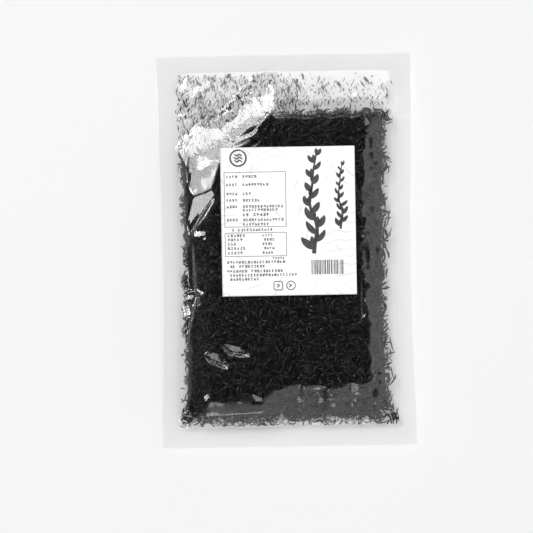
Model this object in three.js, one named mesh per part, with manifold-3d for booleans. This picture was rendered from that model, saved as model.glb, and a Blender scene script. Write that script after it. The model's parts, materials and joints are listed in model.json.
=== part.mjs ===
// A flat clear pouch of dried hijiki, lying on its back with its label up.
//
// The pouch is two sheets of clear film, heat-sealed to each other in a flat band all round.
// Inside lies a pressed bed of dried seaweed buds: short, thin, curled strands, packed in a
// slab that fills the pouch from its bottom seal to about 40 mm below its top edge. Loose
// strands have crept up into the thin neck above the bed and out into the wedge beside the
// side seals. A square paper label is stuck on the front film.
//
// Millimetres. +Z is up, +Y runs towards the pouch's top seal, and +X to the right as the
// label is read. The origin is under the middle of the pouch, on the surface it lies on.

import * as THREE from "three";
import Module from "manifold-3d";

const wasm = await Module();
wasm.setup();

// Pouch
const pouchWidth = 180;
const pouchLength = 277;
const sideSeal = 12; // width of the sealed band on each long side
const topSeal = 12;
const bottomSeal = 15;
const film = 0.4; // thickness of each sheet of film
const sealGap = 0.3; // space between the two sheets, where they are welded
const waistDraw = 2.7; // the filling draws each long side in by this much
const plateauHeight = 21; // top of the front film over the bed
const seamHeight = 5; // the weld's height over the surface, beside the bed
const seamHeightAtTop = 1.9; // the empty end sinks down almost to the surface
const seamHeightAtBottom = 2.8;
const flangeDroop = 1.1; // the side bands hang this much lower at their edge

// How far the films take to swell from the seal to their full height
const sideRun = 0.32; // share of the inside half width, front film
const backSideRun = 0.25; // the same for the back film, which lies flatter
const bottomRun = 25;
const neckRun = 20;
const shoulderRun = 24; // fall of the front film at the top of the bed
const neckShare = 0.2; // height of the neck, as a share of the full swell

// Bed of hijiki
const bedTop = 98; // y of the bed's upper end
const bedInset = 8; // the bed's core stays this far inside the seals
const cover = 3.2; // depth from the film to the core: the outer strands lie in it
const coreLump = 0.4; // the core's own surface rises and falls by this much
const layerHeight = 1.1; // thickness of the strands that lie on the core
const strandSpacing = 3.1; // those of one layer lie at least this far apart
const leastRoom = 1.9; // loose strands stay out of places where the films are closer than this
const joinTolerance = 0.01; // points closer than this are one point where strands cross

// Label
const labelWidth = 94;
const labelLength = 104;
const labelCentre = new THREE.Vector2(1.5, 21);
const labelThickness = 0.35;
const labelGap = 0.3;

// Where the inside of the pouch starts, at its two ends
const innerBottom = -pouchLength / 2 + bottomSeal;
const innerTop = pouchLength / 2 - topSeal;

const clamp = (t) => Math.min(1, Math.max(0, t));
const smooth = (t) => clamp(t) ** 2 * (3 - 2 * clamp(t));
const swell = (t) => 1 - (1 - clamp(t)) ** 2;
const mix = (a, b, t) => a + (b - a) * t;

// A random number from 0 to 1 that is the same each time the part is built
function seeded(seed) {
  let state = seed;
  return () => {
    state = (state * 1664525 + 1013904223) % 4294967296;
    return state / 4294967296;
  };
}

// The pouch's shape

function halfWidthAt(y) {
  const along = clamp((y - innerBottom) / (bedTop - innerBottom));
  return pouchWidth / 2 - waistDraw * Math.sin(Math.PI * along) ** 0.8;
}

// Height of the weld between the two films
function seamAt(x, y) {
  const toTop = smooth((y - bedTop + 20) / (innerTop - bedTop + 20));
  const toBottom = smooth((innerBottom + 12 - y) / (bottomSeal + 12));
  const height = mix(mix(seamHeight, seamHeightAtTop, toTop), seamHeightAtBottom, toBottom);
  const outside = clamp((Math.abs(x) - halfWidthAt(y) + sideSeal) / sideSeal);
  return height - flangeDroop * outside * clamp(height / seamHeight);
}

// How far a film has swollen at a point, from 0 at the seals to 1 over the bed
function swellAt(x, y, run, ends) {
  const inside = halfWidthAt(y) - sideSeal;
  return swell((1 - Math.abs(x) / inside) / run) * ends(y);
}

function frontEnds(y) {
  const neck = mix(1, neckShare, smooth((y - bedTop + 12) / shoulderRun));
  return swell((y - innerBottom) / bottomRun) * swell((innerTop - y) / neckRun) * neck;
}

function backEnds(y) {
  const rise = smooth((y - bedTop + 10) / (innerTop - bedTop + 10));
  return swell((y - innerBottom) / (bottomRun - 3)) * (1 - rise);
}

// The bed under the front film isn't quite level
const waves = (x, y) => 0.45 * Math.sin(x / 19 + 0.6) * Math.cos(y / 27) + 0.3 * Math.sin(y / 33 - x / 41);

function frontUnder(x, y) {
  const full = plateauHeight - film - seamHeight - sealGap / 2;
  return seamAt(x, y) + sealGap / 2 + (full + waves(x, y)) * swellAt(x, y, sideRun, frontEnds);
}

function backUnder(x, y) {
  const lifted = seamAt(x, y) - sealGap / 2 - film;
  return lifted * (1 - swellAt(x, y, backSideRun, backEnds));
}

const frontOver = (x, y) => frontUnder(x, y) + film;
const backOver = (x, y) => backUnder(x, y) + film;

// Solids

function solidOf(vertices, triangles) {
  const vertProperties = new Float32Array(vertices.flatMap((v) => [v.x, v.y, v.z]));
  const triVerts = new Uint32Array(triangles.flat());
  return new wasm.Manifold(new wasm.Mesh({ numProp: 3, vertProperties, triVerts }));
}

// A closed sheet between two surfaces, on a grid of columns and rows. place(column, row)
// gives the grid point's x and y.
function sheetSolid(columns, rows, place, lower, upper) {
  const vertices = [];
  for (const surface of [lower, upper])
    for (const row of rows)
      for (const column of columns) {
        const [x, y] = place(column, row);
        vertices.push(new THREE.Vector3(x, y, surface(x, y)));
      }
  const wide = columns.length;
  const layer = wide * rows.length;
  const at = (i, j) => j * wide + i;
  const triangles = [];
  for (let j = 0; j + 1 < rows.length; j++)
    for (let i = 0; i + 1 < wide; i++) {
      const [a, b, c, d] = [at(i, j), at(i + 1, j), at(i + 1, j + 1), at(i, j + 1)];
      triangles.push([a, c, b], [a, d, c]);
      triangles.push([a + layer, b + layer, c + layer], [a + layer, c + layer, d + layer]);
    }
  const rim = [];
  for (let i = 0; i < wide; i++) rim.push(at(i, 0));
  for (let j = 1; j < rows.length; j++) rim.push(at(wide - 1, j));
  for (let i = wide - 2; i >= 0; i--) rim.push(at(i, rows.length - 1));
  for (let j = rows.length - 2; j > 0; j--) rim.push(at(0, j));
  rim.forEach((a, k) => {
    const b = rim[(k + 1) % rim.length];
    triangles.push([a, b, b + layer], [a, b + layer, a + layer]);
  });
  return solidOf(vertices, triangles);
}

// One strand: a three-sided spindle through its points, with a ridge on top and a tip at
// each end.
function strandSolid(points, width, height) {
  const vertices = [points[0]];
  for (let k = 1; k + 1 < points.length; k++) {
    const along = points[k + 1].clone().sub(points[k - 1]).normalize();
    const side = new THREE.Vector3(-along.y, along.x, 0).normalize();
    const up = along.clone().cross(side);
    for (const angle of [90, 210, 330].map(THREE.MathUtils.degToRad)) {
      const offset = side.clone().multiplyScalar(Math.cos(angle) * 0.5 * width);
      offset.addScaledVector(up, Math.sin(angle) * 0.5 * height);
      vertices.push(points[k].clone().add(offset));
    }
  }
  vertices.push(points.at(-1));
  const last = vertices.length - 1;
  const triangles = [];
  for (let n = 0; n < 3; n++) {
    const next = (n + 1) % 3;
    triangles.push([0, 1 + next, 1 + n]);
    for (let ring = 1; ring + 3 < last; ring += 3) {
      const [a, b, c, d] = [ring + n, ring + next, ring + 3 + next, ring + 3 + n];
      triangles.push([a, b, c], [a, c, d]);
    }
    triangles.push([last - 3 + n, last - 3 + next, last]);
  }
  return solidOf(vertices, triangles);
}

// Films

const filmColumns = [0, 15, 32, 47, 57, 63, 68, 72, 75.5, 78, 90];
const backColumns = [0, 30, 60, 66, 70, 74.5, 78, 90];
const backRows = [
  -138.5, -123.5, -120, -114, -107, -101, -60, -10, 40, 88, 97, 104, 110, 117, 126.5, 138.5,
];
const filmRows = [
  -138.5, -123.5, -121, -117.5, -113, -107, -99, -85, -67, -49, -31, -10, 11, 31, 52, 73, 84, 89,
  94.5, 100, 106, 113, 120, 126.5, 138.5,
];
const bothSides = (columns) => [...columns.slice(1).map((c) => -c).reverse(), ...columns];

// The grid's outer columns follow the drawn-in sides; those over the label stay straight.
const straightTo = 57;
function placeOnPouch(column, row) {
  const beyond = Math.max(0, Math.abs(column) - straightTo);
  const share = (halfWidthAt(row) - straightTo) / (pouchWidth / 2 - straightTo);
  return [Math.sign(column) * (Math.abs(column) - beyond + beyond * share), row];
}

function frontFilm() {
  return sheetSolid(bothSides(filmColumns), filmRows, placeOnPouch, frontUnder, frontOver);
}

function backFilm() {
  return sheetSolid(bothSides(backColumns), backRows, placeOnPouch, backUnder, backOver);
}

function label() {
  const steps = [...Array(9).keys()].map((k) => k / 8 - 0.5);
  const place = (column, row) => [
    labelCentre.x + column * labelWidth,
    labelCentre.y + row * labelLength,
  ];
  const lower = (x, y) => frontOver(x, y) + labelGap;
  const upper = (x, y) => lower(x, y) + labelThickness;
  return sheetSolid(steps, steps, place, lower, upper);
}

// Hijiki

// The bed's upper end is ragged, and a little higher on the right.
const bedTopAt = (x) => bedTop + 0.025 * x + 1.2 * Math.sin(x / 9) + 0.8 * Math.sin(x / 3.7);
const bedHalfWidthAt = (y) => halfWidthAt(y) - sideSeal - bedInset;

// The lowest that the front film comes, and the highest that the back film comes, within half
// a strand's width of a point
const reach = [[0, 0], [2, 0], [-2, 0], [0, 2], [0, -2]];
const roofAt = (x, y) => Math.min(...reach.map(([dx, dy]) => frontUnder(x + dx, y + dy)));
const groundAt = (x, y) => Math.max(...reach.map(([dx, dy]) => backOver(x + dx, y + dy)));

function bedCore() {
  const random = seeded(5);
  const columns = [...Array(13).keys()].map((k) => k / 6 - 1);
  const rows = [...Array(19).keys()].map((k) => k / 18);
  const place = (column, row) => {
    const bottom = innerBottom + bedInset - 2;
    const guess = mix(bottom, bedTop, row);
    const x = column * bedHalfWidthAt(guess);
    const corner = 5 * Math.abs(column) ** 6;
    return [x, mix(bottom + corner, bedTopAt(x) - 3 - corner, row)];
  };
  const lump = () => mix(-coreLump, coreLump, random());
  const lower = (x, y) => groundAt(x, y) + cover + lump();
  const upper = (x, y) => roofAt(x, y) - cover + lump();
  return sheetSolid(columns, rows, place, lower, upper);
}

// A strand's points: from its root it runs off at an angle, curling as it goes, at the
// heights that heightAt gives for each point and its share of the length.
function curl(root, angle, length, bend, heightAt) {
  const points = [];
  let [x, y, heading] = [root.x, root.y, angle - bend / 2];
  for (let k = 0; k < 4; k++) {
    points.push(new THREE.Vector3(x, y, heightAt(x, y, k / 3)));
    x += (Math.cos(heading) * length) / 3;
    y += (Math.sin(heading) * length) / 3;
    heading += bend / 2;
  }
  return points;
}

// Points along a strand, close enough together to tell how near it comes to another
function spotsOf(points) {
  const shares = [0, 1 / 3, 2 / 3];
  return points
    .slice(1)
    .flatMap((point, k) => shares.map((share) => points[k].clone().lerp(point, share)));
}

const apart = (a, b) => Math.hypot(a.x - b.x, a.y - b.y);

// A layer of strands on the bed. Each is rooted in the core and rises out of it to lie on it;
// those of one layer keep clear of each other, and the next layer lies across them.
function layerOfStrands(random, most, heightAt) {
  const strands = [];
  const taken = [];
  for (let tries = 0; tries < 16 * most && strands.length < most; tries++) {
    const y = mix(innerBottom + 10, bedTop - 5, random());
    const root = { x: mix(-1, 1, random()) * bedHalfWidthAt(y), y };
    const length = mix(22, 35, random());
    const bend = (random() < 0.5 ? -1 : 1) * mix(0.4, 1.7, random());
    const points = curl(root, random() * 2 * Math.PI, length, bend, heightAt);
    const onBed = (p) => Math.abs(p.x) < bedHalfWidthAt(p.y) + 1 && p.y > innerBottom + 8;
    if (!points.every((p) => onBed(p) && p.y < bedTop - 2)) continue;
    const spots = spotsOf(points);
    if (spots.some((spot) => taken.some((other) => apart(spot, other) < strandSpacing))) continue;
    taken.push(...spots);
    strands.push(strandSolid(points, mix(3.2, 4.8, random()), layerHeight));
  }
  return strands;
}

// Heights above the core's surface of a strand's root, its two middle points and its tip, in
// the layer that lies on the core and in the one across it
const lowerLayer = [-1.5, 0.8, 0.8, 0.7];
const upperLayer = [-1.5, 2.05, 2.05, 1.9];

function frontStrands() {
  const lying = (layer) => (x, y, share) => roofAt(x, y) - cover + layer[Math.round(share * 3)];
  return [
    ...layerOfStrands(seeded(12), 105, lying(lowerLayer)),
    ...layerOfStrands(seeded(13), 115, lying(upperLayer)),
  ];
}

function backStrands() {
  const hanging = (x, y, share) => groundAt(x, y) + cover - lowerLayer[Math.round(share * 3)] - 0.5;
  return layerOfStrands(seeded(24), 90, hanging);
}

// The middle of the space between the films, where strands lie that have left the bed
const midway = (x, y) => (frontUnder(x, y) + backOver(x, y)) / 2;
const roomAt = (x, y) => frontUnder(x, y) - backOver(x, y);

// Strands that stick out of the bed towards the side seals and the bottom seal
function fringeStrands() {
  const random = seeded(37);
  const strands = [];
  const addFrom = (root, angle) => {
    const length = mix(8, 14, random());
    const bend = mix(-0.9, 0.9, random());
    const rise = mix(-0.25, 0.25, random());
    const heightAt = (x, y) => midway(x, y) + rise * roomAt(x, y);
    const points = curl(root, angle, length, bend, heightAt);
    if (points.every((p) => roomAt(p.x, p.y) > leastRoom)) strands.push(strandSolid(points, mix(1.4, 2.2, random()), 1.1));
  };
  for (const side of [-1, 1])
    for (let n = 0; n < 26; n++) {
      const y = mix(innerBottom + 8, bedTop - 6, (n + random()) / 26);
      const x = side * (bedHalfWidthAt(y) - 3);
      addFrom({ x, y }, (side < 0 ? Math.PI : 0) + mix(-0.9, 0.9, random()));
    }
  for (let n = 0; n < 18; n++) {
    const x = mix(-66, 66, (n + random()) / 18);
    addFrom({ x, y: innerBottom + bedInset + 4 }, -Math.PI / 2 + mix(-0.9, 0.9, random()));
  }
  return strands;
}

// Loose strands in the neck of the pouch: chains of them climb from the bed towards the top
// seal, each strand crossing the one before it, so that they hang together.
function neckStrands() {
  const random = seeded(52);
  const strands = [];
  const chains = 18;
  for (let chain = 0; chain < chains; chain++) {
    const x = mix(-67, 67, (chain + random()) / chains);
    let root = { x, y: bedTopAt(x) - 6 };
    const limit = innerTop - 5 - 12 * random() ** 2;
    for (let step = 0; step < 5; step++) {
      const lean = (random() < 0.5 ? -1 : 1) * mix(0.2, 1.15, random());
      const bend = mix(-1.2, 1.2, random());
      const points = curl(root, Math.PI / 2 + lean, mix(9, 15, random()), bend, midway);
      const fits = points.every((p) => roomAt(p.x, p.y) > leastRoom && p.y < limit);
      if (!fits) continue;
      strands.push(strandSolid(points, mix(1.1, 1.6, random()), 0.95));
      root = points[2];
    }
  }
  return strands;
}

function hijiki() {
  const strands = [...frontStrands(), ...backStrands(), ...fringeStrands(), ...neckStrands()];
  const joined = strands.reduce((whole, strand) => whole.add(strand), bedCore());
  const bodies = joined.decompose().sort((a, b) => b.volume() - a.volume());
  return bodies[0].simplify(joinTolerance); // a strand that crosses no other is left out
}

// Assembly

function meshOf(name, solid, material) {
  const { numProp, vertProperties, triVerts } = solid.getMesh();
  const count = vertProperties.length / numProp;
  const positions = new Float32Array(count * 3);
  for (let v = 0; v < count; v++)
    positions.set(vertProperties.subarray(v * numProp, v * numProp + 3), v * 3);
  const geometry = new THREE.BufferGeometry();
  geometry.setAttribute("position", new THREE.BufferAttribute(positions, 3));
  geometry.setIndex(new THREE.BufferAttribute(triVerts, 1));
  geometry.computeVertexNormals();
  const mesh = new THREE.Mesh(geometry, material);
  mesh.name = name;
  return mesh;
}

const clearFilm = new THREE.MeshStandardMaterial({
  color: 0xe6e7e9,
  roughness: 0.08,
  metalness: 0,
  transparent: true,
  opacity: 0.25,
});
const whitePaper = new THREE.MeshStandardMaterial({ color: 0xf4f4f2, roughness: 0.6, metalness: 0 });
const driedSeaweed = new THREE.MeshStandardMaterial({ color: 0x1b1a19, roughness: 0.6, metalness: 0 });

const pouch = new THREE.Group();
pouch.add(
  meshOf("film_back", backFilm(), clearFilm),
  meshOf("hijiki", hijiki(), driedSeaweed),
  meshOf("film_front", frontFilm(), clearFilm),
  meshOf("label", label(), whitePaper),
);

export default pouch;
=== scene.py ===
"""A clear, heat-sealed pouch of dried hijiki with a paper label, lying on its back.

The two films, the bed of strands and the label are built from one description of the pouch's
shape, so that the strands lie under the film wherever it is folded.
"""

import json
import math

import bpy
import numpy as np
from bpy.props import FloatProperty, FloatVectorProperty, IntProperty, PointerProperty
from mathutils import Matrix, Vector

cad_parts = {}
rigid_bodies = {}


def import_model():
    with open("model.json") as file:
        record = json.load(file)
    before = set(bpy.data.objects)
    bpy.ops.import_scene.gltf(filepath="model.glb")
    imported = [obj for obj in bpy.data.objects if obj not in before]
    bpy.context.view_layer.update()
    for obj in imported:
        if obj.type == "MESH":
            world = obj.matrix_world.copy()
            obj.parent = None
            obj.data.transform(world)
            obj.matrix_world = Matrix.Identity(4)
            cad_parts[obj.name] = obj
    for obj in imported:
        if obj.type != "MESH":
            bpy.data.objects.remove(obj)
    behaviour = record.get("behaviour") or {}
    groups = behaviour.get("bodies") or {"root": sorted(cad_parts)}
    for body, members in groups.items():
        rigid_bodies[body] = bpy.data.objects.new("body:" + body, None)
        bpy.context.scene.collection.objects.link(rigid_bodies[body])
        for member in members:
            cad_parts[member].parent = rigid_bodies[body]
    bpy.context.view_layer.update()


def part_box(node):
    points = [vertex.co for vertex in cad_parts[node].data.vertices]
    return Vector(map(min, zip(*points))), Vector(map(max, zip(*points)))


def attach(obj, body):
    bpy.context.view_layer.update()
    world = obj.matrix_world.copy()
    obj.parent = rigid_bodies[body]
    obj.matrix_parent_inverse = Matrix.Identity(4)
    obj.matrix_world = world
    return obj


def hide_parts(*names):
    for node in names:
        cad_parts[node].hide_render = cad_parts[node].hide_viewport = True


bl_info = {
    "name": "Hijiki pouch",
    "version": (1, 0, 0),
    "blender": (4, 5, 0),
    "location": "View3D > Sidebar > Hijiki",
    "description": "Builds a clear pouch of dried hijiki with its label, and a pale studio floor",
    "category": "Object",
}

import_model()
FILM_LOW, FILM_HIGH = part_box("film_front")

MM = 0.001
IMAGE_SIDE = 533  # pixels, both ways


# Sizes and colours


def length(name, description, default, **more):
    return FloatProperty(
        name=name, description=description, default=default, unit="LENGTH", precision=5, **more
    )


def colour(name, description, default):
    return FloatVectorProperty(
        name=name, description=description, default=default, subtype="COLOR", size=3, min=0, max=1
    )


class PouchSizes(bpy.types.PropertyGroup):
    """Sizes of the pouch's films and seals"""

    width: length("Width", "Width of the pouch at its ends", FILM_HIGH.x - FILM_LOW.x)
    long_side: length("Length", "Length of the pouch", FILM_HIGH.y - FILM_LOW.y)
    side_seal: length("Side seals", "Width of the sealed band on each long side", 0.012)
    top_seal: length("Top seal", "Width of the sealed band at the top", 0.012)
    bottom_seal: length("Bottom seal", "Width of the sealed band at the bottom", 0.015)
    film: length("Film", "Thickness of each film", 0.00014)
    crumple: FloatProperty(
        name="Crumple", description="How much the front film is crumpled", default=1.0, min=0, max=3
    )


class StrandSizes(bpy.types.PropertyGroup):
    """Sizes and numbers of the dried strands"""

    longest: length("Longest", "Length of the longest strands", 0.0125)
    shortest: length("Shortest", "Length of the shortest strands", 0.005)
    thickness: length("Thickness", "Thickness of a middling strand", 0.00105)
    bed_top: length("Bed top", "How far up the pouch the bed of strands reaches", 0.0985)
    per_area: FloatProperty(
        name="Strands per cm2", default=26,
        description="Strands on each square centimetre of the bed",
    )
    seed: IntProperty(name="Seed", description="Seed of every random draw", default=7)


class LabelSizes(bpy.types.PropertyGroup):
    """Sizes of the label"""

    width: length("Width", "Width of the label", 0.094)
    height: length("Height", "Height of the label", 0.104)
    across: length("Across", "Middle of the label, across the pouch", 0.0015)
    along: length("Along", "Middle of the label, along the pouch", 0.021)
    paper: length("Paper", "Thickness of the label paper", 0.00015)


class Colours(bpy.types.PropertyGroup):
    """Colours of the finishes"""

    strand_dark: colour("Strands", "Most of the strands", (0.0012, 0.0011, 0.0012))
    strand_brown: colour("Browner strands", "The browner strands", (0.014, 0.0122, 0.0105))
    strand_tan: colour("Tan bits", "A few pale, reddish bits", (0.17, 0.085, 0.05))
    film_milk: colour("Film", "The little light that the film scatters", (0.93, 0.95, 1.0))
    paper: colour("Paper", "Label paper", (0.93, 0.935, 0.925))
    fibre: colour("Paper fibres", "Pale fibres printed on the label", (0.60, 0.67, 0.63))
    ink: colour("Ink", "Brush ink on the label", (0.012, 0.012, 0.014))
    fine_ink: colour("Fine print", "Ink of the fine lines on the label", (0.03, 0.03, 0.033))
    floor: colour("Floor", "The studio floor", (0.81, 0.81, 0.81))


PROPERTIES = {
    "hijiki_pouch": PouchSizes,
    "hijiki_strands": StrandSizes,
    "hijiki_label": LabelSizes,
    "hijiki_colours": Colours,
}


# The pouch's shape, in millimetres


def smooth(t):
    t = np.clip(t, 0, 1)
    return t * t * (3 - 2 * t)


def swell(t):
    return 1 - (1 - np.clip(t, 0, 1)) ** 2


def mix(a, b, t):
    return a + (b - a) * t


def ripple(x, y, size, seed):
    """Smooth noise from -1 to 1, with bumps about size mm across."""
    grid = np.random.default_rng(seed).uniform(-1, 1, (128, 128))
    u, v = np.asarray(x) / size + 64.3, np.asarray(y) / size + 64.7
    i, j = np.floor(u).astype(int), np.floor(v).astype(int)
    f, g = smooth(u - i), smooth(v - j)
    i, j = i % 127, j % 127
    low = mix(grid[i, j], grid[i + 1, j], f)
    high = mix(grid[i, j + 1], grid[i + 1, j + 1], f)
    return mix(low, high, g)


def creased(x, y, size, seed):
    """Noise from 0 to 1 whose tops are sharp lines, as in crumpled film."""
    return (1 - np.abs(ripple(x, y, size, seed))) ** 2


def ridge(x, y, start, end, width):
    """1 along the line from start to end, falling to 0 at its ends and beside it."""
    (ax, ay), (bx, by) = start, end
    dx, dy = bx - ax, by - ay
    t = ((x - ax) * dx + (y - ay) * dy) / (dx * dx + dy * dy)
    near = np.clip(t, 0, 1)
    away = np.hypot(x - ax - near * dx, y - ay - near * dy)
    return np.exp(-away / width) * np.sin(math.pi * np.clip(t, 0.02, 0.98)) ** 0.6


def within(x, y, corners, soft):
    """1 inside a convex area, whose corners are given anticlockwise, and 0 outside it."""
    depth = np.full(np.broadcast(x, y).shape, 1e3)
    for (ax, ay), (bx, by) in zip(corners, corners[1:] + corners[:1]):
        dx, dy = bx - ax, by - ay
        depth = np.minimum(depth, (dx * (y - ay) - dy * (x - ax)) / math.hypot(dx, dy))
    return smooth(depth / soft + 0.5)


# Flats pressed into the front film: a point that keeps its height, how steeply the flat falls
# towards +x and +y, its corners, and how soft its edge is
FLATS = (
    ((-46, 62), (-0.42, 0.13), ((-44, 44), (-44, 72), (-67, 76), (-71, 36), (-58, 32)), 1.4),
    ((-51, 43), (-0.30, -0.16), ((-67.5, 13), (-47.5, 41), (-46, 50), (-72, 39)), 1.2),
    ((-71, -8), (-0.43, -0.12), ((-66, 5), (-71, 5), (-71, -27), (-65, -27)), 1.4),
    ((-67, -27), (-0.56, 0.17), ((-58, -28), (-64, -23), (-67, -27)), 1.0),
    ((-70, -33), (-0.42, 0.13), ((-62, -35), (-64, -28), (-72, -28), (-70, -38)), 1.2),
    ((-74, -40), (-0.42, 0.13), ((-67, -46), (-68, -35), (-76, -35), (-75, -44)), 1.4),
    ((-68, -46), (-0.56, 0.17), ((-62, -29), (-64.5, -29), (-70, -46), (-68, -46)), 1.0),
    ((-72, -61), (-0.56, 0.17), ((-68, -46), (-70, -46), (-72.5, -62), (-71, -62)), 1.0),
    ((-38, -65), (-0.12, -0.43), ((-27, -73), (-35, -66), (-47, -65), (-41, -71)), 1.2),
    ((-52, -70), (-0.12, -0.43), ((-43, -81), (-49, -71), (-61, -70), (-55, -76)), 1.2),
    ((-22, -101), (-0.12, -0.43), ((-18, -106), (-20, -100), (-28, -100), (-25, -106)), 1.2),
    ((51, -30), (0.6, 0.0), ((53.5, -46), (53, -12), (50.5, -12), (50.5, -46)), 1.0),
)

# The corner that is pressed in over the upper left end of the bed
CORNER = ((-5, 97), (-5, 126), (-84, 126), (-84, 60), (-66, 61), (-44, 65), (-22, 73), (-8, 85))

# Ridges on the front film: start, end, height, width
RIDGES = (
    ((-8, 99), (-22, 82), 1.3, 1.5),
    ((-20, 83), (-38, 75), 1.1, 1.5),
    ((-67, 63), (-71, 38), 0.8, 1.6),
    ((-60, 27), (-70, 12), 0.5, 1.8),
    ((-66, 16), (-62, 4), 0.7, 1.5),
    ((-72, 12), (-66, 5), 0.6, 1.5),
    ((-62, -28), (-71, -62), 0.6, 1.5),
    ((52, -12), (51.5, -46), 0.3, 1.2),
    ((56, -50), (52, -96), 0.25, 1.8),
    ((-14, -121), (4, -98), 0.5, 2.0),
    ((4, -98), (28, -93), 0.35, 1.8),
    ((28, -93), (42, -103), 0.4, 1.8),
    ((42, -103), (52, -96), 0.3, 1.6),
    ((-70, -117), (-16, -112), 0.5, 2.4),
    ((62, -114), (72, -122), 0.5, 2.0),
)


class Pouch:
    """Heights of the pouch's films over the surface it lies on, in millimetres."""

    def __init__(self, scene):
        sizes, strands = scene.hijiki_pouch, scene.hijiki_strands
        self.half = sizes.width / MM / 2
        self.end = sizes.long_side / MM / 2
        self.side_seal = sizes.side_seal / MM
        self.bottom = sizes.bottom_seal / MM - self.end
        self.top = self.end - sizes.top_seal / MM
        self.bottom_seal = sizes.bottom_seal / MM
        self.film = sizes.film / MM
        self.bed_top = strands.bed_top / MM
        self.crumple = sizes.crumple
        self.full = 15.5  # how far the bed lifts the front film over its seams
        self.plateau = 20.55  # height of the front film over the full bed

    def half_width(self, y):
        along = np.clip((y - self.bottom) / (self.bed_top - self.bottom), 0, 1)
        return self.half - 2.7 * np.abs(np.sin(math.pi * along)) ** 0.8

    def inside(self, y):
        return self.half_width(y) - self.side_seal

    def seam(self, x, y):
        to_top = smooth((y - self.bed_top + 20) / (self.top - self.bed_top + 20))
        to_bottom = smooth((self.bottom + 12 - y) / (self.bottom_seal + 12))
        height = mix(mix(5.0, 1.9, to_top), 2.8, to_bottom)
        outside = np.clip((np.abs(x) - self.inside(y)) / self.side_seal, 0, 1)
        return height - 1.1 * outside * np.clip(height / 5.0, 0, 1)

    def side_swell(self, x, y):
        """The front film's rise from the side seals: rounded on the left, straight on the right."""
        share = 1 - np.abs(x) / self.inside(y)
        rounded = swell(share / 0.32)
        run = 0.27 + 0.03 * np.sin(y / 31 + 0.8)
        run = run + 0.034 * ripple(x, y, 9, 46) + 0.028 * ripple(x, y, 3.5, 47)
        straight = np.clip(share / run, 0, 1)
        straight = mix(straight, swell(share / run), 0.12)
        return mix(rounded, straight, smooth((x - 8) / 24) * smooth((95 - y) / 14))

    def end_swell(self, x, y):
        """Its rise from the bottom seal and its fall to the top seal."""
        up = y - self.bottom
        rounded = swell(up / 25)
        wave = 1.6 * np.sin(x / 6.5) + 1.2 * np.sin(x / 3.1 + 1) + 1.0 * ripple(x, y, 4, 48)
        straight = np.clip(up / (29 + wave), 0, 1)
        bottom = mix(rounded, straight, smooth((x + 20) / 14))
        return bottom * swell((self.top - y) / 20)

    def lying(self, x, y):
        """Underside of the front film without its folds."""
        waves = 0.45 * np.sin(x / 19 + 0.6) * np.cos(y / 27) + 0.3 * np.sin(y / 33 - x / 41)
        rise = (self.full + waves) * self.side_swell(x, y) * self.end_swell(x, y)
        foot = self.seam(x, y) + 0.25
        neck = mix(1, 0.2, swell((y - self.crest_at(x)) / 17))
        corner = np.maximum(np.minimum(foot + rise, self.corner(x, y)), foot + 0.2 * rise)
        return mix(foot + neck * rise, corner, within(x, y, CORNER, 2.0))

    def crest_at(self, x):
        """Where the front film starts to fall off beyond the bed's upper end."""
        return self.bed_top - 4 + 1.3 * ripple(x, 0 * x, 7, 43)

    def corner(self, x, y):
        """The flat that is pressed into the upper left corner, from its bowed crest downhill. A
        level step runs along the crest, and beyond its reach the flat falls off steeply."""
        crest = self.plateau + 0.1
        right, up = x + 9, y - 95  # from the crest's upper end
        along = right * -0.842 + up * -0.541
        down = right * -0.541 + up * 0.842
        bow = -6.5 * np.sin(math.pi * np.clip(along / 50, 0, 1)) ** 1.3
        lens = np.sin(math.pi * np.clip((along - 1) / 31, 0, 1)) ** 0.6
        fallen = down - bow - np.clip(down + 0.6 + 1.6 * lens, 0, 3.6 * lens)
        reach = 19 + 3.5 * ripple(x, y, 5, 44) + 2 * ripple(x, y, 2.2, 45)
        streaks = 0.05 * ripple(along * 2.2 + 0.3 * down, 0.5 * down, 5, 49)
        right_part = crest - 0.40 * np.maximum(fallen, 0) - 0.5 * np.maximum(fallen - reach, 0)
        fallen = (x + 41) * -0.80 + (y - 71) * 0.60
        left_part = crest - 0.46 * fallen - 0.5 * np.maximum(fallen - reach - 11, 0)
        return np.minimum(right_part, left_part) + streaks

    def slack(self, x, y):
        """1 where the front film is free to crumple, 0 in the seals."""
        side = smooth((self.inside(y) - np.abs(x)) / 7)
        return side * smooth((y - self.bottom) / 7) * smooth((self.top - y) / 7)

    def front(self, x, y):
        """Underside of the front film."""
        x, y = np.asarray(x, float), np.asarray(y, float)
        deepest = 9  # the most that a flat presses the film in
        height = self.lying(x, y)
        for kept, (fall_x, fall_y), corners, soft in FLATS:
            level = self.lying(*np.array(kept, float))
            flat = level - (x - kept[0]) * fall_x - (y - kept[1]) * fall_y
            height -= within(x, y, corners, soft) * np.clip(height - flat, 0, deepest)
        height = height + self.folds(x, y) * self.slack(x, y) * self.crumple
        wavy = 0.12 * ripple(x, y, 17, 3) * (1 - self.slack(x, y))
        hem = smooth((y - self.bottom) / 1.2) * smooth((self.bottom + 7.5 - y) / 5)
        wavy += 0.35 * hem * (creased(0.5 * x, 1.8 * y, 5, 26) - 0.5) * self.crumple
        return np.maximum(height + wavy, self.back(x, y) + self.film + 0.12)

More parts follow.
